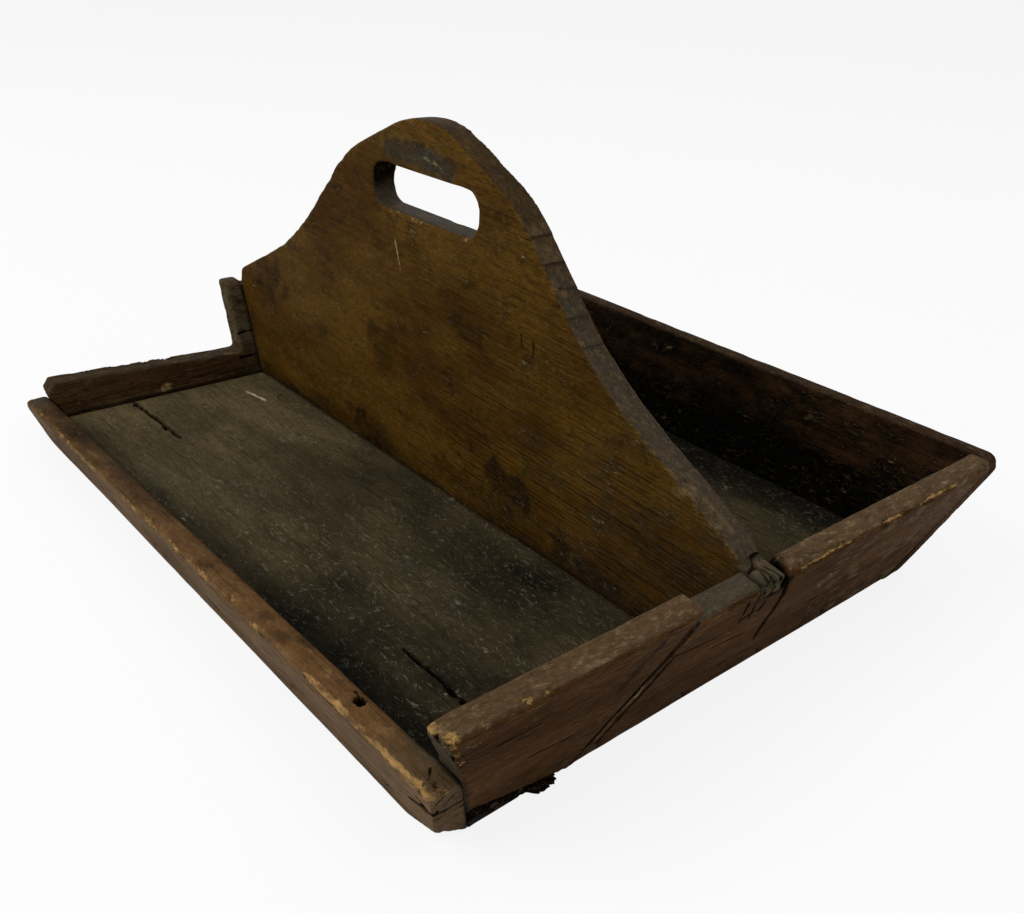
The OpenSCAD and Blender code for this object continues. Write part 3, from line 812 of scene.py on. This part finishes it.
# %% [markdown]
# The left side board split along its grain long ago. What is left is a low rail whose broken top has
# been rubbed to a warm orange brown, with a pale outer edge. The walls lean outwards, and hands wear
# their outer side most, so a helper gives a share that grows from the inner side to the outer one.

# %% Left rail
# Rubbed pine: warm and rather bare, because hands keep taking the dirt off a broken edge
rubbed_pine = old_pine(
    "rubbed_orange_pine", LONG_UPRIGHT, -1.5, pale="#6a543c", mid="#57442f", dark="#322517", top="#5d4328",
    worn="#755b3b", fresh="#957547", stain="#0f0a06", ring=3.6, pith=(-60, 90), lines=0.4,
    scratch=0.3, flecks=0.3, blots=0.3)
LEAN = math.tan(math.radians(20.8))


def outer_share(piece, outward, least):
    points = read(piece)
    out = points @ np.array(outward) - LEAN * points[:, 2]
    return least + (1 - least) * (out - out.min()) / np.ptp(out)


rail = even_copy("left_side_rail", 0.85)
wear(rail, "left_side_rail", 4, 44, seed=21, rub=outer_share(rail, LEFT, 0.35), waves=0.6, bites=2.4)
attribute(rail, "top", facing(rail, UP, 2.2, 0.5))
points, upward = read(rail), facing(rail, UP, 1, 0)
x, y, _ = (points / MM).T
mark(rail, "stain", upward * (0.42 * ramp(x, 90, -80) + 0.15 * ramp(y, -154, -146)
                              + 0.15 * field(points, 14, 5, (3, 1, 1))))
mark(rail, "dust", 0.7 * ramp(x, -165, -185) * upward)
for place, width in (((95, -155, 40), 5), ((103, -149, 40), 4), ((80, -152, 39), 3.5), ((30, -153, 36), 4),
                     ((130, -150, 42), 4)):
    smear(rail, "stain", [place, np.add(place, (5, 0.5, 0.5))], width, 0.42, seed=int(width * 3))

# The pale outer arris, and the near end rounded, dusty and chipped
chips(rail, (62, -156, 37), (69, -157, 38), 4, (3.5, 2.2, 3), 1.2, 2, fresh=0.9)
chips(rail, (79, -159, 37), (85, -160, 38), 2, (4, 2.2, 3), 0.8, 5, fresh=0.8)
smear(rail, "fresh", [(-190, -151, 24), (-60, -154, 30), (60, -158, 37)], 1.2, 0.42, seed=4, ragged=1.2)
groove(rail, [(120, -160, 41), (150, -161, 42), (178, -161.5, 43), (199, -161, 44)], 2.0, 0.5, fresh=0.6,
       waver=0.9, taper=False)
round_off(rail, (200, -161, 44), 9, 50)
round_off(rail, (200, -150, 44), 7, 40)
near_part = ramp(read(rail)[:, 0] / MM, 150, 180)
mark(rail, "dust", 0.55 * near_part * (read(rail, "normal")[:, 2] > 0.5))
smear(rail, "fresh", [(184, -161, 43), (196, -161, 43), (200, -156, 43)], 2.6, 0.5, seed=7, ragged=0.8)
chips(rail, (190, -160, 44), (199, -155, 44), 3, (4.0, 3.0, 3.0), 0.9, 4, fresh=0.5)
print("points on the rail:", len(rail.data.vertices))

# %% [markdown]
# A nail was pulled out of the rail's top and tore a ragged hole. The near end has split right through:
# the split runs across the end grain, gapes at the outer corner and closes along the outer face.

# %% Hole and splits of the rail
NAIL_HOLE = (147.8, -151.9, 42)
END_SPLIT = [(195, -143.3, 30), (194.6, -146.5, 28.8), (194.5, -150.5, 28.6), (194.9, -154, 29.8),
             (195, -156.2, 30.5), (193.7, -156.6, 30.6), (188, -155.6, 28.4), (179.7, -154.3, 24.4)]
SPLIT_GAPE = [(195.2, -155.5, 30.3), (193.7, -156.6, 30.6), (187, -155.4, 28)]
TOP_CRACK = [(189.5, -153, 43.5), (192.8, -155.7, 43.5), (193.5, -156.8, 43.5), (197, -155.6, 43.5)]

refine(rail, [NAIL_HOLE, np.add(NAIL_HOLE, (0.5, 0, 0))], 4.5, 3)
scoop(rail, NAIL_HOLE, (2.9, 2.5, 9), 9.0, black=1.0, seed=3, ragged=0.6)
groove(rail, [np.add(NAIL_HOLE, (2, 0.5, 0)), np.add(NAIL_HOLE, (-5, 1.5, 0))], 0.4, 0.8,
       black=0.9, waver=0.4)
groove(rail, TOP_CRACK, 0.15, 0.9, black=0.8, waver=0.4, taper=False)
groove(rail, [(192.2, -159.5, 42), (195.3, -160.5, 41)], 0.25, 1.0, black=0.8, waver=0.4)
groove(rail, END_SPLIT, 0.95, 2.6, black=1.0, waver=0.3, cuts=3, taper=False)
groove(rail, SPLIT_GAPE, 1.5, 2.6, black=1.0, waver=0.3, cuts=3, taper=False)
for start, end in (((199, -155, 42), (201, -158, 34)), ((198, -150, 38), (196, -154, 31))):
    groove(rail, [start, end], 0.4, 0.8, black=0.6, waver=0.6, seed=int(start[0]))
mark(rail, "stain", 0.3 * facing(rail, NEAR, 3, 1))
finish_board(rail, "left_side_rail", rubbed_pine)

# %% [markdown]
# The right side board is whole. Its inner face took up a century of dirt, and it lies in the divider's
# shade, which is painted into its colour as well: it is almost black, darkest low down, with flecks of
# brown where the grain stands up. Hands kept its upper edge brown.

# %% Right side board
# Grimed pine: black and dull, because soot and grease were never washed off; its near-black stain
# colour also paints the shade on the inner face
grimed_and_shaded_pine = old_pine(
    "grimed_and_shaded_black_pine", LONG_UPRIGHT, 0.5, pale="#47301a", mid="#332211", dark="#1c1108", top="#302215",
    worn="#584630", fresh="#7d6644", stain="#020201", ring=3.4, pith=(120, -80), lines=0.5,
    scratch=0.5, flecks=0.4, mottling=0.45, rough=(0.55, 0.75))
right_board = even_copy("right_side_board", 1.05)
wear(right_board, "right_side_board", 4, 30, seed=31, rub=outer_share(right_board, RIGHT, 0.35))
points = read(right_board)
x, _, z = (points / MM).T
attribute(right_board, "top", facing(right_board, UP, 2.2, 0.9))
attribute(right_board, "stain", attribute(right_board, "stain") * (x < 178))
# Painted shade and dirt: the inner face is made almost black, darker still low down
inner = facing(right_board, LEFT, 2, 0.4)
patches = 0.2 * field(points, 28, 6, (3, 1, 1)) + 0.2 * field(points, 6, 7, (5, 1, 1))
mark(right_board, "stain", inner * (0.66 + 0.5 * ramp(z, 54, 28) + patches))
finish_board(right_board, "right_side_board", grimed_and_shaded_pine)

# %% [markdown]
# The near end board broke into three: a tall left piece that slid up a little, a torn strip at the
# bottom, and the rest, which holds the divider's tongue in a slot. They share one finish and are worn
# in one loop.

# %% Near end board in three pieces
# Handled pine: brown faces under greyer tops, because hands darken wood and dust settles on it
handled_pine = old_pine(
    "handled_brown_pine", CROSS_UPRIGHT, 3.0, pale="#4b3015", mid="#39230e", dark="#1f1309", top="#523f2b",
    worn="#7b6a4e", fresh="#a3834e", stain="#0f0906", ring=4.0, pith=(-50, 260), lines=0.3,
    fibres=0.65, scratch=0.5, flecks=0.42, mottling=0.4)

# Node, grid in mm, passes that keep it crisp and wear it soft, and depth of the dents
NEAR_PIECES = (("near_end_board", 0.9, 4, 50, 1.8), ("near_end_left_piece", 0.85, 4, 50, 2.2),
               ("near_end_bottom_strip", 0.6, 3, 12, 1.4))

near_end = {}
for node, grid, crisp, soft, bites in NEAR_PIECES:
    piece = near_end[node] = even_copy(node, grid)
    wear(piece, node, crisp, soft, seed=41 + soft, rub=outer_share(piece, NEAR, 0.2), grain=(1, 4, 1),
         waves=0.5, bites=bites)
    attribute(piece, "top", facing(piece, UP, 2.2, 0.6))
near_board, left_piece, strip = near_end.values()
attribute(near_board, "stain", attribute(near_board, "stain") * (read(near_board)[:, 1] < 140 * MM))
print("points on the near end:", [len(piece.data.vertices) for piece in near_end.values()])

# %% [markdown]
# The slanting split between the pieces is dark where it gapes, a sliver hangs beside it, and finer
# cracks run off along the grain. Another crack starts in the slot of the tongue, which is black inside.
# A helper puts a place on the leaning outer face.

# %% Split and cracks of the near end
BASE_END = 184


def outer(y, z):
    return (BASE_END + LEAN * z, y, z)


SLOT_CRACK = [outer(2.5, 61), outer(6.5, 53), outer(7.6, 44), outer(8.3, 34.6), outer(10.3, 23)]
# Start and end on the outer face, width in mm, and how black
SMALL_CRACKS = (((-22, 64), (-19, 50), 0.8, 1.0), ((-19, 51), (-7, 53), 0.6, 1.0),
                ((-14.5, 57), (-12, 48), 0.6, 0.9), ((-8, 57), (-7, 50), 0.5, 0.9),
                ((-30, 40), (-6, 36), 0.4, 0.5), ((40, 30), (78, 27), 0.4, 0.5),
                ((-12, 16), (20, 14), 0.4, 0.5))

smear(left_piece, "crack", [outer(-55, 72), outer(-67, 40), outer(-81, 10)], 0.9, 1.0, seed=2, ragged=0.5)
smear(near_board, "crack", [outer(-51.5, 68), outer(-65.5, 40), outer(-79.5, 10)], 1.1, 1.0,
      seed=3, ragged=0.5)
groove(near_board, [outer(-56, 51), outer(-61, 36), outer(-69, 18), outer(-76, 4)], 1.0, 2.2,
       black=1.0, seed=4, taper=False)
groove(near_board, [outer(-56, 51), outer(-45, 49.5), outer(-28, 47)], 0.5, 1.6, black=0.6, seed=5)
smear(near_board, "worn", [outer(-64, 40), outer(-76, 15)], 2.6, 0.6, seed=6)
smear(left_piece, "stain", [outer(-82, 48), outer(-77, 60), outer(-72, 68)], 3.4, 0.6, seed=7, ragged=0.4)
groove(near_board, SLOT_CRACK, 1.3, 3.0, black=1.0, waver=0.4, seed=9, cuts=3, taper=False)
for start, end, width, black in SMALL_CRACKS:
    groove(near_board, [outer(*start), outer(*end)], width, 1.6, black=black, waver=0.6,
           seed=int(40 + start[0]))
scoop(near_board, (198, 2.5, 65), (9, 4.5, 7), 3.5, seed=12, ragged=0.3)
smear(near_board, "crack", [(194, 2, 62), (201, 2.5, 63), (206, 2, 62)], 5.0, 1.0, seed=12, ragged=0.3)
print("small cracks:", len(SMALL_CRACKS))

# %% [markdown]
# The free corners are worn round, and the outer arris has lost long pale splinters. The sawn left end
# and the low top beside the tongue are dusty, the outer face is rubbed to the right, and the bottom
# strip is torn and almost black.

# %% Corners and splinters of the near end
round_off(near_board, (206, -17, 67), 9, 60)
round_off(near_board, (207, 5, 67), 7, 40)
round_off(left_piece, (204, -164, 75), 10, 60)
smear(left_piece, "fresh", [(200, -164, 75), (208, -161, 74)], 4, 0.6, seed=4, ragged=0.7)
end_face = facing(left_piece, LEFT, 2, 0.6) * (read(left_piece)[:, 1] < -140 * MM)
mark(left_piece, "dust", 0.75 * end_face)
groove(left_piece, [(205, -164.5, 73), (207, -163, 68), (208, -160, 60)], 0.4, 1.0, black=0.9, waver=0.5)
for start, end in ((-118, 34), (-96, 31)), ((-140, 58), (-122, 57)):
    groove(left_piece, [outer(*start), outer(*end)], 0.35, 0.5, black=0.7, waver=0.4)
across = read(near_board)[:, 1] / MM
mark(near_board, "dust", 0.8 * (across < -10) * facing(near_board, UP, 2, 0.3))
mark(near_board, "worn", 0.5 * facing(near_board, NEAR, 2, 1) * ramp(across, 0, 60))

for first, last, width in ((14, 44, 0.8), (66, 84, 1.0), (94, 126, 1.2)):
    groove(near_board, [(209.5, first, 67), (209.5, (first + last) / 2, 67.5), (209.5, last, 67)], width, 0.7,
           fresh=0.7, waver=0.8, seed=first, taper=False)
chips(near_board, (209, -48, 67), (209, 140, 67), 14, (2, 6, 2), 0.8, 20, fresh=0.3)
chips(left_piece, (200, -165, 75), (211, -163, 75), 9, (3.5, 3.5, 3), 1.4, 3, fresh=1.0)
chips(left_piece, (211, -163, 73), (206, -153, 57), 5, (2.2, 2.5, 3.5), 1.0, 4, fresh=0.7)
chips(left_piece, (210, -140, 75), (210, -122, 75), 7, (2, 2.6, 2), 0.8, 5, fresh=0.7)
chips(left_piece, (206, -150, 76), (206, -56, 76), 12, (4, 5, 3), 0.6, 6, fresh=0.2)
mark(strip, "stain", np.full(len(strip.data.vertices), 0.95))
chips(strip, (187, -134, 10), (186, -92, 6), 10, (4, 5, 4), 1.8, 7, stain=0.9)
scoop(strip, outer(-95, 8), (8, 7, 6), -4.0, stain=0.6, seed=8, ragged=0.5)
for node, piece in near_end.items():
    finish_board(piece, node, handled_pine)

# %% [markdown]
# The far end board lost the upper part of its left half, apart from a stub beside the divider, which
# is rubbed, dusty and cracked across. The board's broken edge is paler than its face.

# %% Far end board
# Stained pine: dark brown and dry, because dirt sank in where nobody rubbed it off
stained_pine = old_pine(
    "stained_dark_pine", CROSS_UPRIGHT, -2.0, pale="#45311a", mid="#2f200f", dark="#190f07", top="#372b1d",
    worn="#5f5138", fresh="#7d6844", stain="#0c0704", ring=3.6, pith=(-60, -240), lines=0.45,
    scratch=0.35, flecks=0.35, mottling=0.45)
far_board = even_copy("far_end_board", 1.0)
wear(far_board, "far_end_board", 4, 26, seed=51, rub=outer_share(far_board, FAR, 0.35),
     grain=(1, 4, 1), waves=0.6, bites=2.6)
attribute(far_board, "top", facing(far_board, UP, 2.2, 0.7))
_, y, z = (read(far_board) / MM).T
stub = (y > -27) * (y < -15)
mark(far_board, "worn", 0.75 * stub * ramp(z, 25, 37))
mark(far_board, "dust", 0.4 * stub * ramp(z, 20, 32))
chips(far_board, (-194, -140, 36), (-192, -30, 35), 14, (3, 6, 3), 1.0, 2, fresh=0.35)
scoop(far_board, (-177, -78, 23), (4, 7, 3), 0.8, fresh=0.6, seed=4, ragged=0.7)
for height in (43, 27):
    groove(far_board, [(-186, -27, height), (-185, -16, height + 1)], 0.6, 1.6, black=1.0, seed=height)
finish_board(far_board, "far_end_board", stained_pine)

# %% [markdown]
# Cut nails hold it all. Their heads were punched below the surface and have rusted dark, so the solids
# of the frame are shape enough, and only need a crust of rust.

# %% Rusted nails
RUST_GRIT = 1.2

# Rusted iron: brown, rough and hardly metallic, because the crust hides the metal
rusted_iron, tree = new_material("rusted_cut_iron")
here = add(tree, "TexCoord").outputs["Object"]
crust = add(tree, "TexNoise", {"Vector": here, "Scale": 1 / (RUST_GRIT * MM), "Detail": 4.0})
flakes = add(tree, "MapRange", {"Value": crust, "From Min": 0.4, "From Max": 0.65}, **SMOOTH)
rust = add(tree, "Mix", {0: flakes, 6: linear("#1d1815"), 7: linear("#3d2617")}, **RGBA)
pits = add(tree, "Bump", {"Height": crust, "Strength": 0.6, "Distance": 0.3 * MM})
iron = add(tree, "BsdfPrincipled", {"Base Color": rust, "Metallic": 0.35, "Roughness": 0.78, "Normal": pits})
add(tree, "OutputMaterial", {"Surface": iron})
nail_groups = [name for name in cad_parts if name.endswith("nails")]
for name in nail_groups:
    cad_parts[name].data.materials.clear()
    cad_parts[name].data.materials.append(rusted_iron)
print("nail groups:", nail_groups)
